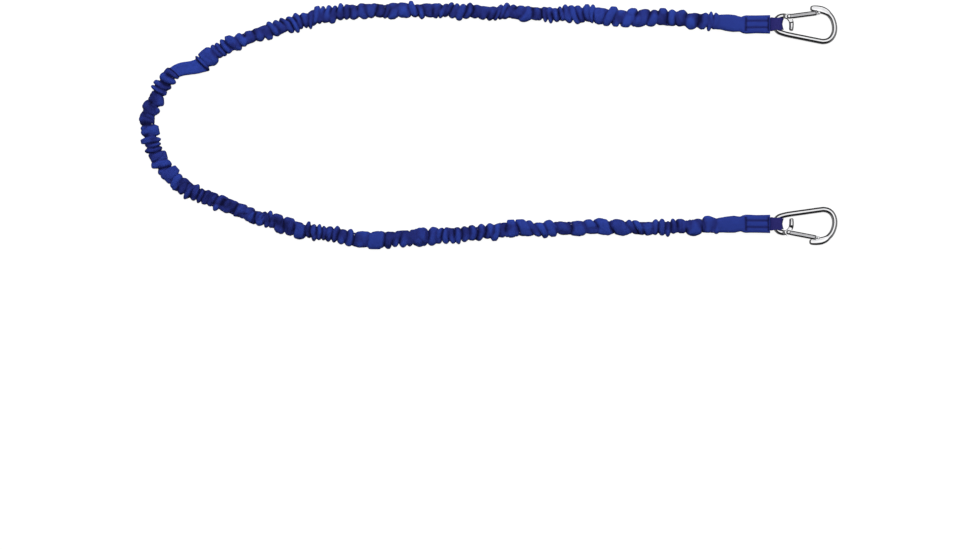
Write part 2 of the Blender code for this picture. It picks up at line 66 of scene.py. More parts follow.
# ---- places ----
MOUTH_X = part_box("outer_sleeve")[1].x
UPPER_Y = sum(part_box("webbing_loop_upper")[k].y for k in (0, 1)) / 2
LOWER_Y = sum(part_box("webbing_loop_lower")[k].y for k in (0, 1)) / 2
CENTRE_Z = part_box("outer_sleeve")[1].z / 2
ENDS = {"upper": UPPER_Y, "lower": LOWER_Y}
# the sleeve's middle, from the upper mouth to the lower one
ROUTE = [
    (MOUTH_X, UPPER_Y), (-0.045, UPPER_Y), (-0.064, UPPER_Y), (-0.096, 0.134), (-0.129, 0.137),
    (-0.195, 0.139), (-0.261, 0.143), (-0.327, 0.145), (-0.393, 0.146), (-0.460, 0.149),
    (-0.526, 0.149), (-0.560, 0.148), (-0.593, 0.145), (-0.625, 0.138), (-0.657, 0.128),
    (-0.689, 0.118), (-0.716, 0.110), (-0.738, 0.099), (-0.756, 0.088), (-0.765, 0.080),
    (-0.777, 0.075), (-0.793, 0.072), (-0.804, 0.066), (-0.812, 0.056), (-0.821, 0.042),
    (-0.830, 0.026), (-0.834, 0.008), (-0.833, -0.012), (-0.829, -0.031), (-0.820, -0.048),
    (-0.808, -0.064), (-0.793, -0.078), (-0.773, -0.090), (-0.747, -0.101), (-0.718, -0.112),
    (-0.686, -0.122), (-0.654, -0.132), (-0.622, -0.139), (-0.589, -0.144), (-0.556, -0.148),
    (-0.522, -0.148), (-0.456, -0.144), (-0.390, -0.138), (-0.324, -0.135), (-0.257, -0.132),
    (-0.191, -0.133), (-0.125, -0.132), (-0.064, LOWER_Y), (-0.045, LOWER_Y), (MOUTH_X, LOWER_Y),
]

# ---- sleeve ----
SLEEVE_STEP = 0.85 * MM
SLEEVE_COLUMNS = 56
SLEEVE_LIMIT = 13.4 * MM        # the cloth reaches no further than this to either side
# distance from the nearer mouth, half width and half height in mm, and squareness; the sewn block comes first
SLEEVE_SECTION = [
    (0.0, 12.0, 4.3, 6.0), (3.0, 11.8, 4.2, 6.0), (18.0, 11.5, 4.35, 6.0), (31.0, 11.9, 4.2, 5.5),
    (34.5, 11.3, 4.3, 4.5), (38.0, 9.7, 4.6, 3.4), (46.0, 11.0, 4.5, 3.2), (57.0, 10.7, 4.5, 3.0),
    (66.0, 9.7, 4.6, 2.8), (80.0, 9.2, 4.75, 2.5),
]
# distance from the upper mouth in m, and how full the gathered sleeve is there
FULLNESS = [
    (0.10, 1.04), (0.24, 1.07), (0.29, 0.92), (0.42, 0.93), (0.51, 0.95), (0.60, 1.04), (0.68, 0.88),
    (0.74, 1.00), (0.86, 1.03), (0.98, 1.06), (1.07, 0.94), (1.26, 1.07), (1.38, 0.99), (1.47, 0.90),
    (1.58, 0.93), (1.66, 1.04),
]

# the bore inside it
BORE_STEP = 6                   # its rings are this many times further apart than the sleeve's
BORE_HALF = (6.75 * MM, 2.95 * MM)
BORE_HALF_AT_MOUTH = 8.9 * MM
BORE_MOUTH_REACH = 40 * MM

# its gathers
GATHER_START = 62.0 * MM        # from the mouth
GATHER_FULL = 80.0 * MM
TIGHT_PUFF = (6.6, 11.0)        # shortest and longest, in mm
LOOSE_PUFF = 11.0               # shortest, in mm
OVERHANG = 0.18                 # how far a puff's flanks lean out over the folds beside it
BEND = (0.791, 1.14)            # the slack part round the turn, with larger and darker folds
# from a distance on: chance of tight puffs, one more than the most in a row, longest loose puff in mm
SLACK = [
    (0.0, 0.55, 7, 21.0), (BEND[0], 0.40, 4, 17.0), (BEND[1], 0.55, 7, 21.0), (1.42, 0.42, 5, 27.0),
]

# its smooth, kinked stretch
PATCH = (0.7532, 0.7910)        # distances from the upper mouth
PATCH_HALF = (8.5 * MM, 3.5 * MM)
PATCH_SLANT = (3.2 * MM, 2.9 * MM)
PATCH_EDGE = 2.2 * MM
# the corner that sticks out of its inner edge: distance from the upper mouth in m, and reach in mm
PATCH_CORNER = [(0.7485, 0.0), (0.7505, 4.2), (0.7560, 2.2), (0.7680, 0.4), (0.7850, 0.0)]

# its sewn blocks
BLOCK_LENGTH = 34.0 * MM
SEAM_SPREAD = 4.2 * MM
SEAM_NEAR = 2.2 * MM
SEAM_FAR = 31.5 * MM
SEAM_DEPTH = 0.62 * MM
ROW_DEPTH = 0.55 * MM
STITCH = 3.0 * MM
STITCH_GAP = 0.18 * STITCH
STITCH_HEIGHT = 3.86 * MM       # of the needle holes above the sleeve's middle
STITCH_LIFT = 0.42 * MM
SEAM_THREAD = 0.34 * MM
ROW_THREAD = 0.30 * MM
ROW_PITCH = 1.5 * MM
ROW_STITCHES = 12
ROW_SLANT = 0.7 * MM

# ---- webbing loop ----
# distance past the mouth and half width, in mm
LOOP_HALF = [(0.0, 8.1), (1.6, 8.8), (6.5, 7.7), (11.0, 8.4)]
TURN_HALF = 6.9 * MM            # half width where it turns inside the hook's eye
TURN_START = 11.0 * MM
TURN_REACH = 4.4 * MM
LOOP_THICKNESS = 1.6 * MM
LOOP_LEG = 33.0 * MM
LOOP_COLUMNS = 26
LEG_SPREAD = 1.85 * MM
LOOP_HOLLOW = 2.2 * MM
LOOP_CORNER = 0.34              # power that makes its section nearly rectangular

# ---- hook, in its own frame, where the eye's middle is the origin ----
EYE_X = MOUTH_X + 16.6 * MM
PIVOT = Vector((-10.2, 0.0, 0.0)) * MM
PIVOT_Z = 5.6 * MM
TILT = math.radians(1.5)
YAW = {"upper": math.radians(-3.2), "lower": 0.0}
GAP = 0.3 * MM
CUT_REACH = 12 * MM             # cutters reach this far to either side
# along the rod, from the nose round to the finger that closes the eye: x, y, width and thickness in mm
ROD_STATIONS = [
    (35.4, -23.4, 5.0, 4.4), (36.4, -23.4, 6.8, 5.4), (39.0, -23.3, 8.2, 5.8),
    (44.0, -22.9, 9.4, 5.8), (50.0, -22.0, 9.8, 5.8), (55.3, -20.2, 8.8, 6.2),
    (59.6, -17.2, 7.2, 7.0), (64.1, -12.0, 7.0, 7.0), (67.0, -5.0, 7.0, 7.0),
    (68.0, 1.5, 7.0, 7.0), (67.3, 7.6, 7.0, 7.0), (64.6, 13.3, 7.0, 7.0),
    (60.1, 17.1, 7.0, 7.0), (54.6, 18.6, 7.0, 7.0), (49.0, 18.3, 7.0, 7.0),
    (26.0, 15.1, 7.0, 7.0), (9.0, 12.7, 7.0, 7.0), (2.0, 11.3, 7.0, 7.0),
    (-4.6, 9.2, 7.0, 7.0), (-8.8, 5.2, 7.0, 7.0), (-10.2, 0.0, 7.0, 7.0),
    (-9.0, -5.4, 7.0, 7.0), (-5.2, -9.6, 7.0, 7.0), (-0.6, -11.2, 7.0, 6.8),
    (2.6, -11.4, 6.4, 3.0), (6.8, -10.0, 6.2, 3.0), (10.0, -6.4, 6.0, 3.0),
    (10.9, -4.4, 6.0, 3.2), (11.4, -2.2, 6.2, 6.0), (11.6, 2.0, 6.0, 6.0),
    (11.4, 5.8, 5.6, 5.6), (11.3, 6.6, 4.6, 4.6),
]
ROD_ENDS = ((0.86, 0.35 * MM), (0.6, 0.55 * MM))      # each end is rounded off in steps of size and reach

# its gate; places on it are given by the distance from the hinge along it
HINGE = Vector((7.4, -11.0, 0.0)) * MM
GATE_SLOPE = math.radians(-10.8)
GATE_OPENING = math.radians(26.0)
GATE_WIDTH = 6.1 * MM
GATE_DEPTH = 7.0 * MM
GATE_CORNER = 0.8 * MM
GATE_ROUNDING = 2.1 * MM
GATE_END = 36.4 * MM
GATE_SLOT_END = 8.3 * MM
GATE_SLOT = 3.8 * MM
LUG_THICKNESS = 3.2 * MM
CAM_RADIUS = 4.6 * MM
CAM_RISE = 1.2 * MM
CAM_STEPS = 15
PIVOT_BORE = 1.55 * MM
RIVET_RADIUS = 1.25 * MM
LATCH_U = 39.6 * MM
LATCH_RADIUS = 1.3 * MM
LATCH_HALF = 2.9 * MM
NECK_RADIUS = 2.6 * MM
NECK_THICKNESS = 2.6 * MM
SPRING_BORE = 1.35 * MM
SPRING_REACH = (14.52 * MM, 23.48 * MM)
SPRING_RADIUS, SPRING_WIRE, SPRING_TURNS = 0.85 * MM, 0.22 * MM, 8

# ---- camera ----
VIEW_WIDTH = 1.2730             # width of surface that the picture shows
VIEW_CENTRE = (-0.3925, -0.1952)
LENS = 80.0
SENSOR = 36.0

# ---- surface and light ----
FLOOR_REACH = 9.0
FLOOR_DROP = 0.3 * MM
SKY = Vector((0.10, 0.27, 0.96)).normalized()       # the middle of the bright part of the studio
SKY_DARK = (0.010, 0.010, 0.012)
# how far a direction points towards the sky's middle, and how bright it is
SKY_LEVELS = ((0.76, 0.02), (0.84, 0.15), (0.89, 1.15), (0.93, 1.9), (0.97, 1.6))
SKY_MIDDLE = 1.2
SIDE_GLOW = (0.45, 0.90, 0.26)      # light from the two ends of the room: start, full and level
GROUND_GLOW = (0.0, -0.12, 0.12)    # light that the pale ground sends back
KEY_PLACE = (-0.4, 1.1, 1.9)
KEY_TARGET = (-0.4, 0.0, 0.0)
KEY_SIZE = (2.8, 1.9)
KEY_POWER = 50.0


def make_camera():
    """The camera looks straight down."""
    data = bpy.data.cameras.new("camera")
    data.lens, data.sensor_width = LENS, SENSOR
    data.clip_start, data.clip_end = 0.05, 50.0
    camera = bpy.data.objects.new("camera", data)
    bpy.context.scene.collection.objects.link(camera)
    camera.location = (*VIEW_CENTRE, VIEW_WIDTH * LENS / SENSOR)
    bpy.context.scene.camera = camera


# ---- small helpers ----

def link(name, mesh, mat):
    obj = bpy.data.objects.new(name, mesh)
    obj.data.materials.clear()
    obj.data.materials.append(mat)
    bpy.context.scene.collection.objects.link(obj)
    return obj


def finish_bmesh(name, bm, mat, angle=40):
    """An object of the bmesh, smooth except at edges sharper than the angle in degrees."""
    bmesh.ops.recalc_face_normals(bm, faces=bm.faces)
    mesh = bpy.data.meshes.new(name)
    bm.to_mesh(mesh)
    bm.free()
    mesh.shade_smooth()
    mesh.set_sharp_from_angle(angle=math.radians(angle))
    return link(name, mesh, mat)


def bridge(bm, rings):
    """Quads from each ring of vertices to the next."""
    for a, b in zip(rings, rings[1:]):
        for i in range(len(a)):
            j = (i + 1) % len(a)
            bm.faces.new((a[i], a[j], b[j], b[i]))


def grid_faces(rows, columns, offset=0, reverse=False):
    """Quads of a tube of vertices stored row by row, where the last column joins the first."""
    i, j = np.meshgrid(np.arange(rows - 1), np.arange(columns), indexing="ij")
    k = (j + 1) % columns
    near, far = i * columns, (i + 1) * columns
    quads = np.stack([near + j, near + k, far + k, far + j], -1)
    quads = quads.reshape(-1, 4) + offset
    return quads[:, ::-1] if reverse else quads


def cloth_object(name, points, faces, mat, weave, fold):
    """A smooth mesh; weave holds each point's place in the cloth, and fold is the painted shade, 0 deep in a fold
    and 1 on top.
    """
    mesh = bpy.data.meshes.new(name)
    mesh.from_pydata(points.tolist(), [], faces.tolist())
    mesh.validate()
    mesh.shade_smooth()
    layer = mesh.attributes.new("weave", "FLOAT_VECTOR", "POINT")
    layer.data.foreach_set("vector", weave.astype(np.float32).ravel())
    layer = mesh.attributes.new("fold", "FLOAT", "POINT")
    layer.data.foreach_set("value", fold.astype(np.float32).ravel())
    return link(name, mesh, mat)


def smooth_curve(points, step):
    """Points about a step apart on a smooth curve through the given ones.

    The first two values of each point lie on the curve, and any others change evenly between the points.
    """
    size = len(points[0])
    ends = [[2 * points[0][k] - points[1][k] for k in range(size)]]
    ends += [list(p) for p in points]
    ends += [[2 * points[-1][k] - points[-2][k] for k in range(size)]]
    curve = []
    for i in range(1, len(ends) - 2):
        before, start, end, after = (np.array(p) for p in ends[i - 1:i + 3])
        count = max(1, round(math.dist(start[:2], end[:2]) / step))
        for j in range(count):
            t = j / count
            bend = 0.5 * (2 * start + (end - before) * t + (2 * before - 5 * start + 4 * end - after) * t * t
                          + (3 * start - before - 3 * end + after) * t ** 3)
            straight = start + (end - start) * t
            curve.append([*bend[:2], *straight[2:]])
    curve.append(list(points[-1]))
    return np.array(curve)


def evenly(points, step):
    """The curve's points again, at even distances along it, with those distances."""
    lengths = np.concatenate([[0.0], np.cumsum(np.linalg.norm(np.diff(points, axis=0), axis=1))])
    count = round(lengths[-1] / step) + 1
    s = np.linspace(0.0, lengths[-1], count)
    return np.stack([np.interp(s, lengths, points[:, k]) for k in range(points.shape[1])], 1), s


def side_directions(points):
    """The unit vector to the left of a flat path at each of its points."""
    along = np.gradient(points[:, :2], axis=0)
    along /= np.linalg.norm(along, axis=1)[:, None]
    return np.stack([-along[:, 1], along[:, 0]], 1)


def smooth_step(x):
    """0 up to 0, 1 from 1 on, and a soft slope between."""
    x = np.clip(x, 0.0, 1.0)
    return x * x * (3 - 2 * x)


def soft_noise(x, y, seed, wrap=8):
    """Smooth noise from -1 to 1 on a lattice of seeded values; y wraps after the given count."""
    size = 4096
    table = np.random.RandomState(seed).uniform(-1, 1, (size, wrap))
    ix, iy = np.floor(x).astype(int), np.floor(y).astype(int)
    fx, fy = smooth_step(x - ix), smooth_step(y - iy)
    ix, iy, jx, jy = ix % size, iy % wrap, (ix + 1) % size, (iy + 1) % wrap
    a = table[ix, iy] * (1 - fx) + table[jx, iy] * fx
    b = table[ix, jy] * (1 - fx) + table[jx, jy] * fx
    return a * (1 - fy) + b * fy


# ---- materials ----

class Nodes:
    """A material's node tree, with short calls to add and join nodes."""

    def __init__(self, name):
        self.material = bpy.data.materials.new(name)
        self.material.use_nodes = True
        self.tree = self.material.node_tree
        self.shader = self.tree.nodes["Principled BSDF"]

    def add(self, kind, **values):
        node = self.tree.nodes.new(kind)
        for key, value in values.items():
            setattr(node, key, value)
        return node

    def join(self, output, target):
        self.tree.links.new(output, target)

    def position(self):
        return self.add("ShaderNodeTexCoord").outputs["Object"]

    def attribute(self, name):
        return self.add("ShaderNodeAttribute", attribute_name=name)

    def maths(self, operation, a, b=None, clamp=False):
        node = self.add("ShaderNodeMath", operation=operation, use_clamp=clamp)
        for socket, value in zip(node.inputs, (a, b)):
            if value is None:
                continue
            if isinstance(value, (int, float)):
                socket.default_value = value
            else:
                self.join(value, socket)
        return node.outputs[0]

    def noise(self, vector, scale, detail=3.0, roughness=0.55):
        node = self.add("ShaderNodeTexNoise")
        node.inputs["Scale"].default_value = scale
        node.inputs["Detail"].default_value = detail
        node.inputs["Roughness"].default_value = roughness
        self.join(vector, node.inputs["Vector"])
        return node.outputs["Fac"]

    def ramp(self, factor, stops):
        node = self.add("ShaderNodeValToRGB")
        elements = node.color_ramp.elements
        while len(elements) > len(stops):
            elements.remove(elements[-1])
        while len(elements) < len(stops):
            elements.new(0.5)
        for element, (place, colour) in zip(elements, stops):
            element.position = place
            element.color = (*colour, 1.0)
        self.join(factor, node.inputs["Fac"])
        return node.outputs["Color"]

    def bump(self, height, strength, distance):
        node = self.add("ShaderNodeBump")
        node.inputs["Strength"].default_value = strength
        node.inputs["Distance"].default_value = distance
        self.join(height, node.inputs["Height"])
        self.join(node.outputs["Normal"], self.shader.inputs["Normal"])

    def base(self, colour):
        self.join(colour, self.shader.inputs["Base Color"])

    def set(self, **values):
        for key, value in values.items():
            self.shader.inputs[key.replace("_", " ")].default_value = value


def woven_material(name, dark, mid, light, pitch, across, sheen):
    """Webbing: warp ribs along it and weft across it, with painted shade that darkens its folds."""
    n = Nodes(name)
    place = n.attribute("weave").outputs["Vector"]
    split = n.add("ShaderNodeSeparateXYZ")
    n.join(place, split.inputs[0])
    u, v = split.outputs["X"], split.outputs["Y"]
    warp = n.maths("SINE", n.maths("MULTIPLY", v, 2 * math.pi / across))
    weft = n.maths("SINE", n.maths("MULTIPLY", u, 2 * math.pi / pitch))
    cross = n.maths("MULTIPLY", warp, weft)
    ribs = n.maths("MULTIPLY", n.maths("ABSOLUTE", warp), 0.55)
    height = n.maths("ADD", n.maths("MULTIPLY", cross, 0.5), ribs)
    fuzz = n.noise(place, 2600.0, 2.0)
    height = n.maths("ADD", height, n.maths("MULTIPLY", fuzz, 0.35))
    fold = n.attribute("fold").outputs["Fac"]
    large = n.noise(place, 38.0, 4.0)
    # painted shade: the fold attribute darkens the folds and seams and lightens the puffs' tops; the noise adds
    # random tone
    shade = n.maths("MULTIPLY", fold, 0.80)
    shade = n.maths("ADD", shade, n.maths("MULTIPLY", large, 0.18))
    shade = n.maths("ADD", shade, n.maths("MULTIPLY", cross, 0.045))
    shade = n.maths("ADD", shade, n.maths("MULTIPLY", fuzz, 0.06), clamp=True)
    n.base(n.ramp(shade, [(0.10, dark), (0.50, mid), (0.92, light)]))
    rough = n.add("ShaderNodeMapRange")
    rough.inputs["To Min"].default_value = 0.62
    rough.inputs["To Max"].default_value = 0.86
    n.join(large, rough.inputs["Value"])
    n.join(rough.outputs[0], n.shader.inputs["Roughness"])
    n.set(Sheen_Weight=sheen, Sheen_Roughness=0.45, Specular_IOR_Level=0.12)
    n.bump(height, 0.55, 0.00022)
    return n.material


def thread_material(name, dark, light):
    """Twisted sewing thread."""
    n = Nodes(name)
    place = n.position()
    wave = n.add("ShaderNodeTexWave", bands_direction="DIAGONAL")
    wave.inputs["Scale"].default_value = 1500.0
    wave.inputs["Distortion"].default_value = 1.5
    n.join(place, wave.inputs["Vector"])
    n.base(n.ramp(wave.outputs["Fac"], [(0.1, dark), (0.9, light)]))
    n.set(Roughness=0.6, Specular_IOR_Level=0.15)
    n.bump(wave.outputs["Fac"], 0.4, 0.00008)
    return n.material


def steel_material(name, base, worn, roughness, scratch):
    """Polished steel: faint drawing marks, handling haze and a few fine scratches."""
    n = Nodes(name)
    place = n.position()
    haze = n.noise(place, 90.0, 5.0, 0.6)
    stretch = n.add("ShaderNodeMapping")
    stretch.inputs["Scale"].default_value = (120.0, 1900.0, 1900.0)
    n.join(place, stretch.inputs["Vector"])
    marks = n.noise(stretch.outputs["Vector"], 1.0, 3.0)
    n.base(n.ramp(haze, [(0.25, worn), (0.65, base)]))
    rough = n.maths("ADD", n.maths("MULTIPLY", haze, 0.06), roughness - 0.03)
    rough = n.maths("ADD", rough, n.maths("MULTIPLY", marks, 0.03), clamp=True)
    n.join(rough, n.shader.inputs["Roughness"])
    n.set(Metallic=1.0)
    n.bump(marks, scratch, 0.00003)
    return n.material


def rubber_material(name):
    """The braided cover of an elastic cord."""
    n = Nodes(name)
    place = n.position()
    checker = n.add("ShaderNodeTexChecker")
    checker.inputs["Scale"].default_value = 900.0
    checker.inputs["Color1"].default_value = (0.42, 0.42, 0.40, 1.0)
    checker.inputs["Color2"].default_value = (0.30, 0.30, 0.29, 1.0)
    n.join(place, checker.inputs["Vector"])
    n.base(checker.outputs["Color"])
    n.set(Roughness=0.75)
    n.bump(checker.outputs["Fac"], 0.4, 0.0001)
    return n.material


def floor_material():
    """A white sweep lit from within, so that only faint shadows show on it."""
    n = Nodes("floor")
    shade = n.noise(n.position(), 6.0, 3.0)
    n.base(n.ramp(shade, [(0.3, (0.10, 0.10, 0.10)), (0.7, (0.12, 0.12, 0.12))]))
    n.set(Roughness=0.9, Specular_IOR_Level=0.0, Emission_Color=(1.0, 1.0, 1.0, 1.0), Emission_Strength=0.95)
    return n.material


# dark is the painted shade deep in the sleeve's folds and light the painted light on its puffs' tops
BLUE = woven_material(
    "sleeve_blue", dark=(0.0020, 0.0020, 0.026), mid=(0.0155, 0.0235, 0.165), light=(0.0270, 0.0640, 0.390),
    pitch=1.5 * MM, across=1.1 * MM, sheen=0.01)
NAVY = woven_material(
    "loop_navy", dark=(0.0075, 0.0062, 0.044), mid=(0.0180, 0.0160, 0.118), light=(0.0320, 0.0305, 0.188),
    pitch=2.4 * MM, across=1.8 * MM, sheen=0.01)
THREAD = thread_material("thread_blue", dark=(0.003, 0.004, 0.030), light=(0.010, 0.015, 0.095))
STEEL = steel_material(
    "polished_steel", base=(0.64, 0.64, 0.65), worn=(0.52, 0.52, 0.53), roughness=0.05, scratch=0.25)
GATE_STEEL = steel_material(
    "gate_steel", base=(0.36, 0.36, 0.37), worn=(0.28, 0.28, 0.29), roughness=0.09, scratch=0.35)
SPRING = steel_material(
    "spring_steel", base=(0.46, 0.46, 0.48), worn=(0.34, 0.34, 0.36), roughness=0.28, scratch=0.4)
RUBBER = rubber_material("elastic")


# ---- the gathered sleeve ----

def puff_edges(total, rng):
    """Distances where one puff ends and the next begins, in tight groups between looser ones, and their sizes."""
    edges, sizes = [0.0], []
    while edges[-1] < total:
        chance, most, longest = [row[1:] for row in SLACK if row[0] <= edges[-1]][-1]
        tight = rng.uniform() < chance
        for _ in range(rng.randint(2, most) if tight else rng.randint(1, 4)):
            sizes.append(rng.uniform(*(TIGHT_PUFF if tight else (LOOSE_PUFF, longest))) * MM)
            edges.append(edges[-1] + sizes[-1])
    return np.array(edges), np.array(sizes + sizes[-1:])


def gathers(s, angle, total):
    """The shape of the gathers at each ring and column.

    Returns how far the cloth stands out (+) or is drawn in (-) as a share of its size, how high it is on its
    puff (0 to 1) as the mask of painted light on the tops and painted shade in the folds, how far it is pushed
    along the sleeve, and how far each ring is shifted sideways.
    """
    rng = np.random.RandomState(SEED)
    edges, sizes = puff_edges(total, rng)
    count = len(edges)
    order = np.arange(count)
    bend = (edges > BEND[0]) & (edges < BEND[1])
    loose = smooth_step((sizes / MM - 9) / 6)
    grid_s, grid_a = np.meshgrid(s, angle, indexing="ij")
    around = grid_a / (2 * math.pi)

    # each point is on puff i, at t from its start (0) to its end (1); the folds wander along the sleeve
    shift = 8.5 * MM * soft_noise(grid_s / (42 * MM), around * 2, seed=3, wrap=2)
    shift += 2.4 * MM * soft_noise(grid_s / (17 * MM), around * 4, seed=4, wrap=4)
    phase = np.clip(np.interp(grid_s + shift, edges, order), 0, count - 1.001)
    i = phase.astype(int)
    t = phase - i

    # each puff's height, which leans to one side, its knob, and the depth of the fold before it
    height = rng.uniform(0.07, 0.21, count) + 0.05 * loose
    side = np.where(rng.uniform(size=count) < 0.5, math.pi, 0.0) + rng.uniform(-0.6, 0.6, count)
    lean = rng.uniform(0.2, 1.1, count)
    knob = rng.uniform(0.14, 0.34, count) * (rng.uniform(size=count) < 0.30)
    knob_side = np.where(rng.uniform(size=count) < 0.55, math.pi, 0.0)
    valley = rng.uniform(0.17, 0.30, count)

    def fold_depth(puff):
        return valley[puff] * np.clip(0.70 + 1.2 * soft_noise(puff + 0.0, around * 5, seed=13, wrap=5), 0, 1.2)

    arch = np.sin(math.pi * t) ** (0.92 - 0.34 * loose)[i]
    uneven = 1 + 0.9 * soft_noise(i + 0.0, around * 5, seed=12, wrap=5)
    rise = height[i] * (1 + lean[i] * np.cos(grid_a - side[i])) * uneven
    rise += knob[i] * np.clip(np.cos(grid_a - knob_side[i]), 0, 1) ** 3
    low = fold_depth(i) * (1 - t) + fold_depth(i + 1) * t
    out = rise * arch - low * (1 - arch)

    # fine creases across the puffs, and the unevenness of the cloth
    slant = 5 * MM * soft_noise(grid_s / (30 * MM), around * 3, seed=23, wrap=3)
    crease = np.abs(soft_noise((grid_s + slant) / (5.5 * MM), around * 5, seed=21, wrap=5)) ** 0.7
    out += (0.08 + 0.07 * loose[i] + 0.11 * bend[i]) * (crease - 0.55 - 0.12 * bend[i])
    out += 0.018 * soft_noise(grid_s / (2.2 * MM), around * 14, seed=22, wrap=14)

    # crest paints light and shade: painted light on the puffs' tops and painted shade in the folds, times a
    # random tone per puff, darker round the bend
    tone = rng.uniform(0.72, 1.0, count) - 0.12 * bend
    crest = np.clip((out + 0.20) / 0.37, 0, 1) * (1 + (tone[i] - 1) * arch)
    push = -OVERHANG * np.sin(2 * math.pi * t) / (2 * math.pi) * sizes[i]
    middle = np.interp(s, edges, order)
    sideways = np.interp(middle, order + 0.5, rng.uniform(-1.6, 1.6, count)) * MM
    return out, crest, push, sideways + 1.0 * MM * soft_noise(s / (24 * MM), 0 * s, seed=61)


def sleeve_section(end, patch):
    """Half width, half height and squareness of the sleeve, by distance from the nearer mouth."""
    stops, half_width, half_height, power = np.array(SLEEVE_SECTION).T
    stops = stops * MM
    wide = np.interp(end, stops, half_width * MM) * (1 - patch) + PATCH_HALF[0] * patch
    high = np.interp(end, stops, half_height * MM) * (1 - patch) + PATCH_HALF[1] * patch
    return wide, high, np.interp(end, stops, power) + 0.9 * patch


def sew_block(flat, up, end):
    """The sleeve's heights with its ends sewn flat, and how deep each point lies in a seam (0 to 1), the mask of
    the painted shade in the seams.
    """
    block = smooth_step((BLOCK_LENGTH + 1.5 * MM - end) / (3 * MM))
    seam = np.exp(-((np.abs(flat) - SEAM_SPREAD) / (1.1 * MM)) ** 2)
    rows = sum(np.exp(-((end - row) / (1.5 * MM)) ** 2) for row in (SEAM_NEAR, SEAM_FAR))
    rows = rows * smooth_step((9.8 * MM - np.abs(flat)) / (1.5 * MM))
    between = smooth_step((end - SEAM_NEAR) / MM) * smooth_step((SEAM_FAR - end) / MM)
    pucker = 0.75 + 0.25 * np.cos(2 * math.pi * end / STITCH)
    press = block * (seam * between * pucker * SEAM_DEPTH + rows * ROW_DEPTH)
    swell = block * 0.25 * MM * np.cos(np.clip(np.abs(flat) / (12 * MM), 0, 1) * math.pi / 2)
    up = up - np.sign(up) * (press - swell) * smooth_step(np.abs(up) / (2.5 * MM))
    return up, block * np.clip(seam * between + rows, 0, 1)


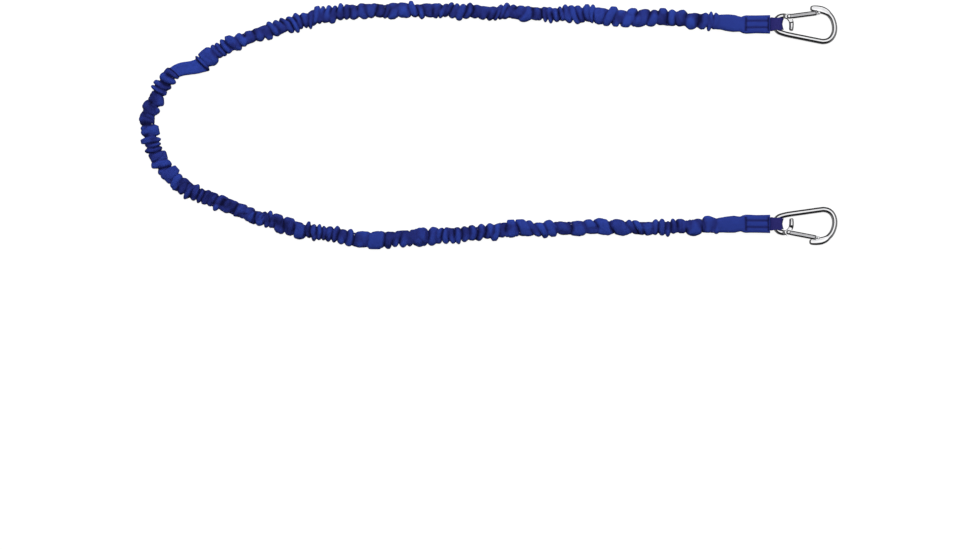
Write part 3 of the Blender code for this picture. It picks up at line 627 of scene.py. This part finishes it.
def make_sleeve():
    """The sleeve, the path of its middle, and its length."""
    centre, s = evenly(smooth_curve(ROUTE, 2 * MM), SLEEVE_STEP)
    total = s[-1]
    side = side_directions(centre)
    angle = 2 * math.pi * (np.arange(SLEEVE_COLUMNS) + 0.5) / SLEEVE_COLUMNS
    c, sn = np.cos(angle)[None, :], np.sin(angle)[None, :]
    out, crest, slide, sideways = gathers(s, angle, total)

    # patch is 1 on the smooth stretch; amount is 1 where the sleeve is gathered
    end = np.minimum(s, total - s)[:, None] + 0 * c
    inside = np.minimum(s[:, None] - PATCH[0] + PATCH_SLANT[0] * c, PATCH[1] - PATCH_SLANT[1] * c - s[:, None])
    patch = smooth_step(inside / PATCH_EDGE)
    corner = np.interp(s, *np.array(PATCH_CORNER).T)[:, None] * MM * np.clip(1.6 * c - 0.4, 0, 1)
    amount = smooth_step((end - GATHER_START) / (GATHER_FULL - GATHER_START)) * (1 - patch)
    place = np.clip(s[:, None] + slide * amount, 0, total)
    end = np.minimum(place, total - place)

    # the section, with the gathers on it
    wide, high, power = sleeve_section(end, patch)
    full = np.interp(place, *np.array(FULLNESS).T)
    wide = wide * (1 + (full - 1) * amount)
    square = (np.abs(c) ** power + np.abs(sn) ** power) ** (-1 / power)
    push = out * amount
    flat = c * square * wide * (1 + np.clip(push, -0.24, 0.42)) + amount * sideways[:, None]
    flat = np.clip(flat + corner, -SLEEVE_LIMIT, SLEEVE_LIMIT)
    up = sn * square * high * (1 + np.clip(1.7 * push, -0.295, 0.5))

    # the smooth stretch beside each block is a little wavy
    gentle = (1 - amount) * smooth_step((end - 36 * MM) / (10 * MM))
    wave = soft_noise(*np.meshgrid(s / (13 * MM), angle * 2 / math.pi, indexing="ij"), seed=41)
    flat = flat * (1 + 0.035 * gentle * wave)
    up, groove = sew_block(flat, up * (1 + 0.12 * gentle * wave), end)

    z = np.maximum(CENTRE_Z + up, 0.05 * MM)
    x, y, side_x, side_y = (np.interp(place, s, table) for table in (*centre.T[:2], *side.T))
    outer = np.stack([x + side_x * flat, y + side_y * flat, z], -1)
    around = np.cumsum(np.hypot(np.diff(flat, axis=1, prepend=flat[:, :1]),
                                np.diff(up, axis=1, prepend=up[:, :1])), axis=1)
    cloth = s[:, None] + np.cumsum(np.abs(np.gradient(push, axis=0)) * 9 * MM, axis=0)
    weave = np.stack([cloth, around, 0 * flat], -1)
    # fold paints light and shade: painted shade in the folds between puffs, along the smooth stretch's edge and
    # in the sewn seams, and the smooth stretch painted lighter
    fold = 0.66 * (1 - amount) + amount * (0.02 + 0.80 * crest)
    patch_edge_shade = np.exp(-((inside - 0.6 * MM) / (1.1 * MM)) ** 2)
    fold = np.clip(fold + 0.11 * patch - 0.55 * patch_edge_shade - 0.42 * groove, 0, 1)

    # the bore, and the rims that join it to the outside
    keep = np.unique(np.concatenate([[0, len(s) - 1], np.arange(BORE_STEP, len(s) - 1, BORE_STEP)]))
    near = np.minimum(s, total - s)[keep, None]
    bore_flat = c * square[keep] * np.where(near < BORE_MOUTH_REACH, BORE_HALF_AT_MOUTH, BORE_HALF[0])
    bore_up = sn * square[keep] * BORE_HALF[1]
    inner = np.stack([centre[keep, :1] + side[keep, :1] * bore_flat,
                      centre[keep, 1:2] + side[keep, 1:2] * bore_flat, CENTRE_Z + bore_up], -1)
    columns = SLEEVE_COLUMNS
    start, last = len(s) * columns, (len(s) - 1) * columns
    bore_last = start + (len(keep) - 1) * columns
    j = np.arange(columns)
    k = (j + 1) % columns
    first_rim = np.stack([start + j, start + k, k, j], -1)
    last_rim = np.stack([last + j, last + k, bore_last + k, bore_last + j], -1)

    points = np.concatenate([outer.reshape(-1, 3), inner.reshape(-1, 3)])
    faces = np.concatenate([grid_faces(len(s), columns), grid_faces(len(keep), columns, start, reverse=True),
                            first_rim, last_rim])
    weave = np.concatenate([weave.reshape(-1, 3), weave[keep].reshape(-1, 3)])
    # the bore's inside is painted darker, as painted shade
    fold = np.concatenate([fold.ravel(), 0.3 * np.ones(len(keep) * columns)])
    sleeve = cloth_object("gathered_sleeve", points, faces, BLUE, weave, fold)
    path = np.column_stack([centre, np.full(len(centre), CENTRE_Z)])[::8]
    return sleeve, np.vstack([path, [*centre[-1], CENTRE_Z]]), total


# ---- webbing loops ----

def loop_path():
    """The loop's centreline as (distance past the mouth, height): lower leg, bight, upper leg."""
    low, high = CENTRE_Z - LEG_SPREAD, CENTRE_Z + LEG_SPREAD
    half = PIVOT_Z - LOOP_THICKNESS / 2 - 0.1 * MM
    bottom, top = PIVOT_Z - half, PIVOT_Z + half
    points = [(-LOOP_LEG, low), (-16 * MM, low), (0.6 * MM, low), (2.0 * MM, low - 0.6 * MM),
              (4.0 * MM, bottom + 0.2 * MM), (6.6 * MM, bottom), (TURN_START, bottom)]
    for i in range(1, 8):
        a = math.radians(-90 + 22.5 * i)
        points.append((TURN_START + TURN_REACH * math.cos(a), PIVOT_Z + half * math.sin(a)))
    points += [(TURN_START, top), (6.6 * MM, top), (4.2 * MM, top - 0.5 * MM), (1.8 * MM, high + 1.9 * MM),
               (0.6 * MM, high + 0.6 * MM), (-0.8 * MM, high), (-16 * MM, high), (-LOOP_LEG, high)]
    return points


def make_loop(end, end_y):
    """One webbing loop, blended between the lanyard and its hook."""
    path, s = evenly(smooth_curve(loop_path(), 0.5 * MM), 0.8 * MM)
    along = np.gradient(path, axis=0)
    along /= np.linalg.norm(along, axis=1)[:, None]
    out = np.stack([along[:, 1], -along[:, 0]], 1)
    reach, level = path[:, 0], np.abs(path[:, 1] - PIVOT_Z)

    # it narrows and hollows as it turns round the rod
    hollow = LOOP_HOLLOW * np.clip((reach - 8 * MM) / (7.4 * MM), 0, 1)
    leg = np.interp(reach / MM, *np.array(LOOP_HALF).T) * MM
    turning = smooth_step((reach - 8 * MM) / (2 * MM)) * smooth_step((4.7 * MM - level) / MM)
    half = leg + (TURN_HALF - leg) * turning
    half = half + 0.12 * MM * soft_noise(s / (4 * MM), np.zeros(len(s)), seed=51)

    angle = 2 * math.pi * (np.arange(LOOP_COLUMNS) + 0.5) / LOOP_COLUMNS
    c, sn = np.cos(angle), np.sin(angle)
    k = (np.sign(c) * np.abs(c) ** LOOP_CORNER)[None, :]
    layer = (np.sign(sn) * np.abs(sn) ** LOOP_CORNER)[None, :] * LOOP_THICKNESS / 2
    rib = 1 + 0.05 * np.cos(k * 9 * math.pi)
    x = MOUTH_X + path[:, :1] + hollow[:, None] * k * k + out[:, :1] * layer * rib
    z = path[:, 1:2] + out[:, 1:2] * layer * rib
    y = end_y + k * half[:, None] + 0 * z
    points = np.stack([x, y, z], -1).reshape(-1, 3)
    weave = np.stack([s[:, None] + 0 * z, y - end_y, 0 * z], -1).reshape(-1, 3)
    obj = cloth_object(f"navy_loop_{end}", points, grid_faces(len(s), LOOP_COLUMNS), NAVY, weave,
                       np.full(len(points), 0.6))
    bm = bmesh.new()
    bm.from_mesh(obj.data)
    bm.verts.ensure_lookup_table()
    bm.faces.new(bm.verts[:LOOP_COLUMNS][::-1])
    bm.faces.new(bm.verts[-LOOP_COLUMNS:])
    bmesh.ops.recalc_face_normals(bm, faces=bm.faces)
    bm.to_mesh(obj.data)
    bm.free()
    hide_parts(f"webbing_loop_{end}")
    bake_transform(obj)


# ---- stitches ----

def add_stitch(bm, start, end, lift, radius):
    """One stitch: a short rounded thread that rises between two needle holes."""
    steps, sides = 6, 6
    upward = Vector((0, 0, 1))
    across = upward.cross((end - start).normalized())
    rings = []
    for i in range(steps + 1):
        t = i / steps
        arch = math.sin(math.pi * t)
        centre = start.lerp(end, t) + upward * (lift * arch)
        size = radius * (0.35 + 0.65 * arch ** 0.5)
        ring = []
        for j in range(sides):
            a = 2 * math.pi * j / sides
            ring.append(bm.verts.new(centre + across * size * math.cos(a) + upward * (size * math.sin(a))))
        rings.append(ring)
    bridge(bm, rings)
    bm.faces.new(rings[0][::-1])
    bm.faces.new(rings[-1])


def make_stitches(end, end_y, face):
    """All the stitches on the upper (+1) or lower (-1) face of one sewn block."""
    bm = bmesh.new()
    surface = CENTRE_Z + face * STITCH_HEIGHT
    lift = face * STITCH_LIFT
    for y in (end_y - SEAM_SPREAD, end_y + SEAM_SPREAD):
        for i in range(round((SEAM_FAR - SEAM_NEAR) / STITCH)):
            a = MOUTH_X - SEAM_NEAR - i * STITCH - STITCH_GAP
            b = a - STITCH + 2 * STITCH_GAP
            add_stitch(bm, Vector((a, y, surface)), Vector((b, y, surface)), lift, SEAM_THREAD)
    for row in (SEAM_NEAR, SEAM_FAR):
        for i in range(ROW_STITCHES):
            y = end_y + (i - (ROW_STITCHES - 1) / 2) * ROW_PITCH
            a = Vector((MOUTH_X - row + ROW_SLANT, y - ROW_PITCH * 0.4, surface))
            b = Vector((MOUTH_X - row - ROW_SLANT, y + ROW_PITCH * 0.4, surface))
            add_stitch(bm, a, b, lift, ROW_THREAD)
    name = "needle" if face > 0 else "bobbin"
    obj = finish_bmesh(f"{name}_stitches_{end}", bm, THREAD, angle=60)
    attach(obj, "lanyard")
    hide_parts(f"{name}_thread_{end}")
    return obj


# ---- hooks ----

def oval(width, height, sides, power):
    """The outline of a rod's section, rounder at a power of 2 and squarer above it."""
    points = []
    for i in range(sides):
        angle = (i + 0.5) * 2 * math.pi / sides
        c, s = math.cos(angle), math.sin(angle)
        points.append((math.copysign(abs(c) ** (2 / power), c), math.copysign(abs(s) ** (2 / power), s)))
    reach = max(p[0] for p in points)
    return [(p[0] / reach * width / 2, p[1] / reach * height / 2) for p in points]


def plate(outline, low, high):
    """A flat solid of the outline between two heights."""
    bm = bmesh.new()
    face = bm.faces.new([bm.verts.new((p[0], p[1], low)) for p in outline])
    raised = bmesh.ops.extrude_face_region(bm, geom=[face])["geom"]
    top = [v for v in raised if isinstance(v, bmesh.types.BMVert)]
    bmesh.ops.translate(bm, vec=(0.0, 0.0, high - low), verts=top)
    return bm


def turned(profile, sides):
    """A solid of revolution about Z; the profile's first and last points lie on the axis."""
    bm = bmesh.new()
    rings = []
    for r, z in profile[1:-1]:
        angles = [2 * math.pi * i / sides for i in range(sides)]
        rings.append([bm.verts.new((r * math.cos(a), r * math.sin(a), z)) for a in angles])
    bridge(bm, rings)
    for ring, z in ((rings[0], profile[0][1]), (rings[-1], profile[-1][1])):
        tip = bm.verts.new((0.0, 0.0, z))
        for i in range(sides):
            bm.faces.new((ring[i], ring[(i + 1) % sides], tip))
    return bm


def on_circle(centre, radius, degrees):
    a = math.radians(degrees)
    return centre[0] + radius * math.cos(a), centre[1] + radius * math.sin(a)


def arc(centre, radius, start, end, count):
    return [on_circle(centre, radius, start + (end - start) * i / (count - 1)) for i in range(count)]


def circle(centre, radius, count):
    return arc(centre, radius, 0, 360 - 360 / count, count)


def along_gate(u, v):
    """A place given along and across the closed gate, in the hook's frame."""
    c, s = math.cos(GATE_SLOPE), math.sin(GATE_SLOPE)
    return HINGE.x + u * c - v * s, HINGE.y + u * s + v * c


def rod_bmesh():
    """The bent rod with its rounded ends."""
    stations = [[value * MM for value in station] for station in ROD_STATIONS]
    curve = smooth_curve(stations, 1.0 * MM)
    side = side_directions(curve)
    bm = bmesh.new()
    rings = []
    for (x, y, width, thickness), across in zip(curve, side):
        blunt = min(1.0, abs(width - thickness) / (1.5 * MM))
        section = oval(width, thickness, 28, 2.0 + blunt)
        rings.append([bm.verts.new((x + across[0] * a, y + across[1] * a, b)) for a, b in section])
    bridge(bm, rings)
    for ring, toward in ((rings[0], -1.0), (rings[-1], 1.0)):
        centre = sum((v.co for v in ring), Vector()) / len(ring)
        beyond = side[0] if toward < 0 else side[-1]
        ahead = Vector((beyond[1], -beyond[0], 0.0)) * toward
        previous = ring
        for scale, reach in ROD_ENDS:
            inner = [bm.verts.new(centre + (v.co - centre) * scale + ahead * reach) for v in ring]
            bridge(bm, [previous, inner])
            previous = inner
        bm.faces.new(previous)
    return bm


def lug_bmesh():
    """The lug that carries the hinge, with the cam edge that the plunger runs on."""
    first, last = math.degrees(GATE_SLOPE) - 4, math.degrees(GATE_SLOPE + GATE_OPENING) + 4
    outline = arc(HINGE, CAM_RADIUS, -118, first - 6, 22)
    for i in range(CAM_STEPS):
        angle = first + (last - first) * i / (CAM_STEPS - 1)
        share = (math.radians(angle) - GATE_SLOPE) / GATE_OPENING
        outline.append(on_circle(HINGE, CAM_RADIUS + CAM_RISE * max(0.0, share), angle))
    outline += [(11.2 * MM, -7.4 * MM), (8.0 * MM, -8.4 * MM), (4.0 * MM, -11.0 * MM)]
    return plate(outline, -LUG_THICKNESS / 2, LUG_THICKNESS / 2)


def hook_cutters():
    """The pivot's bore, the flat that the gate lands on, the latch pin's notch with room for the gate's neck,
    and the small pocket in the finger."""
    landing = [along_gate(u, v) for u, v in (
        (20 * MM, -3.45 * MM), (37.0 * MM, -3.45 * MM), (37.0 * MM, 8 * MM), (20 * MM, 8 * MM))]
    seat = LATCH_RADIUS + GAP + 0.05 * MM
    latch = along_gate(LATCH_U, 0.0)
    lean = math.degrees(GATE_SLOPE)
    notch = arc(latch, seat, lean + 180, lean + 360, 21)
    notch += [along_gate(LATCH_U + seat, 8 * MM), along_gate(LATCH_U - seat, 8 * MM)]
    neck_seat = NECK_RADIUS + 0.4 * MM
    neck = arc(latch, neck_seat, lean + 270, lean + 360, 14)
    neck += [along_gate(u, v) for u, v in (
        (LATCH_U + neck_seat, 8 * MM), (36.0 * MM, 8 * MM), (36.0 * MM, -neck_seat))]
    pocket = [(11.1 * MM, 2.2 * MM), (11.9 * MM, 2.2 * MM), (11.9 * MM, 4.7 * MM), (11.1 * MM, 4.7 * MM)]
    return [plate(circle(HINGE, PIVOT_BORE, 36), -CUT_REACH, CUT_REACH),
            plate(landing, -CUT_REACH, CUT_REACH), plate(notch, -CUT_REACH, CUT_REACH),
            plate(neck, -1.6 * MM, 1.6 * MM), plate(pocket, 2.4 * MM, CUT_REACH)]


def combined(obj, steps):
    """Cut or join obj with each (bmesh, operation), then clean and smooth it."""
    for bm, operation in steps:
        tool = finish_bmesh("tool", bm, STEEL)
        modifier = obj.modifiers.new("boolean", "BOOLEAN")
        modifier.operation = operation
        modifier.object = tool
        bpy.context.view_layer.update()
        result = bpy.data.meshes.new_from_object(obj.evaluated_get(bpy.context.evaluated_depsgraph_get()))
        obj.modifiers.clear()
        obj.data = result
        bpy.data.objects.remove(tool)
    bm = bmesh.new()
    bm.from_mesh(obj.data)
    bmesh.ops.remove_doubles(bm, verts=bm.verts, dist=1e-6)
    bmesh.ops.dissolve_degenerate(bm, edges=bm.edges, dist=1e-6)
    bm.to_mesh(obj.data)
    bm.free()
    obj.data.shade_smooth()
    obj.data.set_sharp_from_angle(angle=math.radians(35))
    return obj


def gate_bmesh():
    """The gate's bar, in the gate's own frame: the hinge is the origin and +X leads to the free end."""
    half = GATE_WIDTH / 2
    outline = arc((0.0, 0.0), half, 90, 270, 25)
    outline += [(GATE_END - GATE_CORNER, -half), (GATE_END, -half + GATE_CORNER)]
    outline += [(GATE_END, half - GATE_CORNER), (GATE_END - GATE_CORNER, half)]
    bm = plate(outline, -GATE_DEPTH / 2, GATE_DEPTH / 2)
    rims = [e for e in bm.edges if abs(e.verts[0].co.z - e.verts[1].co.z) < 1e-7]
    bmesh.ops.bevel(bm, geom=rims, offset=GATE_ROUNDING, segments=7, profile=0.5, affect="EDGES")
    return bm


def gate_steps():
    """The neck that is joined to the bar, and its cuts: lug's slot, pivot's and spring's bores, pin's hole."""
    neck = [(30 * MM, -NECK_RADIUS)] + arc((LATCH_U, 0.0), NECK_RADIUS, -90, 90, 21) + [(30 * MM, NECK_RADIUS)]
    slot = [(-CUT_REACH, -CUT_REACH), (GATE_SLOT_END, -CUT_REACH), (GATE_SLOT_END, CUT_REACH),
            (-CUT_REACH, CUT_REACH)]
    bore = turned([(0, 0), (SPRING_BORE, 0), (SPRING_BORE, 18 * MM), (0, 18 * MM)], 24)
    bmesh.ops.rotate(bore, matrix=Matrix.Rotation(math.pi / 2, 3, "Y"), verts=bore.verts)
    bmesh.ops.translate(bore, vec=(6 * MM, 0.0, 0.0), verts=bore.verts)
    pivot, pin = circle((0.0, 0.0), PIVOT_BORE, 36), circle((LATCH_U, 0.0), LATCH_RADIUS + GAP, 24)
    return [(plate(neck, -NECK_THICKNESS / 2, NECK_THICKNESS / 2), "UNION"),
            (plate(slot, -GATE_SLOT / 2, GATE_SLOT / 2), "DIFFERENCE"),
            (plate(pivot, -CUT_REACH, CUT_REACH), "DIFFERENCE"),
            (bore, "DIFFERENCE"),
            (plate(pin, -CUT_REACH, CUT_REACH), "DIFFERENCE")]


def spring_bmesh():
    """The coil in the gate's bore, in the gate's own frame."""
    bm = bmesh.new()
    steps, sides = 16 * SPRING_TURNS, 8
    turns = [2 * math.pi * k / sides for k in range(sides)]
    rings = []
    for i in range(steps + 1):
        angle = 2 * math.pi * SPRING_TURNS * i / steps
        out = Vector((0.0, math.cos(angle), math.sin(angle)))
        middle = Vector((SPRING_REACH[0] + (SPRING_REACH[1] - SPRING_REACH[0]) * i / steps, 0.0, 0.0))
        middle += out * SPRING_RADIUS
        rings.append([bm.verts.new(middle + (out * math.cos(t) + Vector((math.sin(t), 0, 0))) * SPRING_WIRE)
                      for t in turns])
    bridge(bm, rings)
    bm.faces.new(rings[0])
    bm.faces.new(rings[-1][::-1])
    return bm


def rivet_bmesh():
    """The hinge's rivet with its two domed heads, about Z."""
    half, top = GATE_DEPTH / 2 + GAP, GATE_DEPTH / 2 + 1.0 * MM
    r = RIVET_RADIUS
    side = [(0, 0), (0.8 * MM, 0.03 * MM), (1.5 * MM, 0.13 * MM), (2.0 * MM, 0.32 * MM),
            (2.25 * MM, 0.55 * MM), (2.3 * MM, top - half)]
    head = [(radius, top - depth) for radius, depth in side] + [(r, half)]
    return turned([(radius, -z) for radius, z in head] + list(reversed(head)), 32)


def latch_bmesh():
    """The cross pin at the gate's free end, about Z."""
    r, half = LATCH_RADIUS, LATCH_HALF
    end = [(0, half), (r * 0.7, half), (r * 0.92, half - 0.1 * MM), (r, half - 0.3 * MM)]
    return turned([(radius, -z) for radius, z in end] + list(reversed(end)), 28)


def hook_place(end):
    """The transform from the hook's frame to its place at that end."""
    place = Matrix.Translation((EYE_X + PIVOT.x, ENDS[end], PIVOT_Z))
    return place @ Matrix.Rotation(TILT, 4, "Y") @ Matrix.Rotation(YAW[end], 4, "Z") @ Matrix.Translation(-PIVOT)


def placed_copy(source, name, place, flip):
    """A copy of a hook piece in its place, mirrored for the hook that is turned over."""
    mesh = source.data.copy()
    mesh.name = name
    if flip:
        mesh.transform(Matrix.Scale(-1, 4, (0, 1, 0)))
        mesh.flip_normals()
    mesh.transform(place)
    return link(name, mesh, source.data.materials[0])


def squash_spring(piece, end, shut, seat):
    """Gives the spring its own copy of its mesh; it is not shortened as the gate opens."""
    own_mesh(piece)


def make_hooks():
    """Both hooks; the upper one is the lower one turned over."""
    body = combined(finish_bmesh("rod", rod_bmesh(), STEEL),
                    [(lug_bmesh(), "UNION")] + [(cutter, "DIFFERENCE") for cutter in hook_cutters()])
    gate = combined(finish_bmesh("bar", gate_bmesh(), GATE_STEEL), gate_steps())
    spring = finish_bmesh("coil", spring_bmesh(), SPRING)
    rivet = finish_bmesh("rivet", rivet_bmesh(), STEEL)
    latch = finish_bmesh("latch", latch_bmesh(), STEEL)
    hinge = Matrix.Translation(HINGE) @ Matrix.Rotation(GATE_SLOPE, 4, "Z")
    latch_place = hinge @ Matrix.Translation((LATCH_U, 0, 0))
    for source, place in ((gate, hinge), (rivet, hinge), (spring, hinge), (latch, latch_place)):
        source.data.transform(place)
    spring_ends = [hinge @ Vector((u, 0, 0))
                   for u in (SPRING_REACH[0] - SPRING_WIRE, SPRING_REACH[1] + SPRING_WIRE)]
    for end, flip in (("upper", True), ("lower", False)):
        place = hook_place(end)
        for source, name, node, part in (
                (body, "hook_rod", "hook_body", "hook"), (rivet, "rivet", "hinge_rivet", "hook"),
                (gate, "gate_bar", "gate", "gate"), (latch, "latch", "latch_pin", "gate"),
                (spring, "spring_coil", "gate_spring", "gate")):
            piece = placed_copy(source, f"{name}_{end}", place, flip)
            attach(piece, f"{end}_{part}")
            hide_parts(f"{node}_{end}")
        squash_spring(piece, end, *(place @ Vector((p.x, -p.y if flip else p.y, p.z)) for p in spring_ends))
    for source in (body, gate, rivet, spring, latch):
        bpy.data.objects.remove(source)


# ---- what stays as the model made it ----

def finish_hidden_nodes():
    """Materials for the pieces that no visual piece replaces."""
    looks = {"energy_absorbing_strap": NAVY, "elastic_cord_inner": RUBBER, "elastic_cord_outer": RUBBER}
    looks.update({f"spring_plunger_{end}": SPRING for end in ENDS})
    for node, mat in looks.items():
        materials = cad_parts[node].data.materials
        materials.clear()
        materials.append(mat)


# ---- surface and light ----

def make_floor():
    mesh = bpy.data.meshes.new("floor")
    reach = FLOOR_REACH
    mesh.from_pydata([(-reach, -reach, 0), (reach, -reach, 0), (reach, reach, 0), (-reach, reach, 0)],
                     [], [(0, 1, 2, 3)])
    floor = link("floor", mesh, floor_material())
    floor.location.z = -FLOOR_DROP
    floor.visible_glossy = False
    floor.visible_diffuse = False


def make_key_light():
    data = bpy.data.lights.new("key", "AREA")
    data.shape = "RECTANGLE"
    data.size, data.size_y = KEY_SIZE
    data.energy = KEY_POWER
    light = bpy.data.objects.new("key", data)
    bpy.context.scene.collection.objects.link(light)
    light.location = KEY_PLACE
    light.visible_glossy = False
    light.rotation_euler = (Vector(KEY_TARGET) - Vector(KEY_PLACE)).to_track_quat("-Z", "Y").to_euler()


def make_world():
    """A studio with one bright side and a dark one, which draws the dark lines along the rods."""
    world = bpy.data.worlds.new("studio")
    bpy.context.scene.world = world
    world.use_nodes = True
    add, join = world.node_tree.nodes.new, world.node_tree.links.new
    background = world.node_tree.nodes["Background"]

    place = add("ShaderNodeTexCoord")
    toward = add("ShaderNodeVectorMath")
    toward.operation = "DOT_PRODUCT"
    toward.inputs[1].default_value = SKY
    ramp = add("ShaderNodeValToRGB")
    stops = ramp.color_ramp.elements
    stops[0].position, stops[0].color = 0.10, (*SKY_DARK, 1)
    stops[1].position, stops[1].color = 1.0, (SKY_MIDDLE, SKY_MIDDLE, SKY_MIDDLE, 1)
    for position, level in SKY_LEVELS:
        stops.new(position).color = (level, level, level, 1)
    join(place.outputs["Generated"], toward.inputs[0])
    join(toward.outputs["Value"], ramp.inputs["Fac"])

    parts = add("ShaderNodeSeparateXYZ")
    join(place.outputs["Generated"], parts.inputs["Vector"])
    along = add("ShaderNodeMath")
    along.operation = "ABSOLUTE"
    join(parts.outputs["X"], along.inputs[0])
    light = ramp.outputs["Color"]
    for value, (start, full, level) in ((along.outputs["Value"], SIDE_GLOW), (parts.outputs["Z"], GROUND_GLOW)):
        part = add("ShaderNodeMapRange")
        for socket, number in (("From Min", start), ("From Max", full), ("To Min", 0.0), ("To Max", level)):
            part.inputs[socket].default_value = number
        join(value, part.inputs["Value"])
        total = add("ShaderNodeMix")
        total.data_type, total.blend_type = "RGBA", "ADD"
        total.inputs["Factor"].default_value = 1.0
        join(light, total.inputs["A"])
        join(part.outputs["Result"], total.inputs["B"])
        light = total.outputs["Result"]

    # the camera itself sees white
    seen = add("ShaderNodeLightPath")
    mix = add("ShaderNodeMix")
    mix.data_type = "RGBA"
    mix.inputs["B"].default_value = (1.0, 1.0, 1.0, 1)
    join(seen.outputs["Is Camera Ray"], mix.inputs["Factor"])
    join(light, mix.inputs["A"])
    join(mix.outputs["Result"], background.inputs["Color"])
    background.inputs["Strength"].default_value = 1.0
    bpy.context.scene.view_settings.view_transform = "Standard"


make_camera()
sleeve, sleeve_path, sleeve_length = make_sleeve()
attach(sleeve, "lanyard")
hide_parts("outer_sleeve")
stitches = [make_stitches(end, end_y, face) for end, end_y in ENDS.items() for face in (1, -1)]
for loop_end, loop_y in ENDS.items():
    make_loop(loop_end, loop_y)
make_hooks()
finish_hidden_nodes()
make_floor()
make_world()
make_key_light()
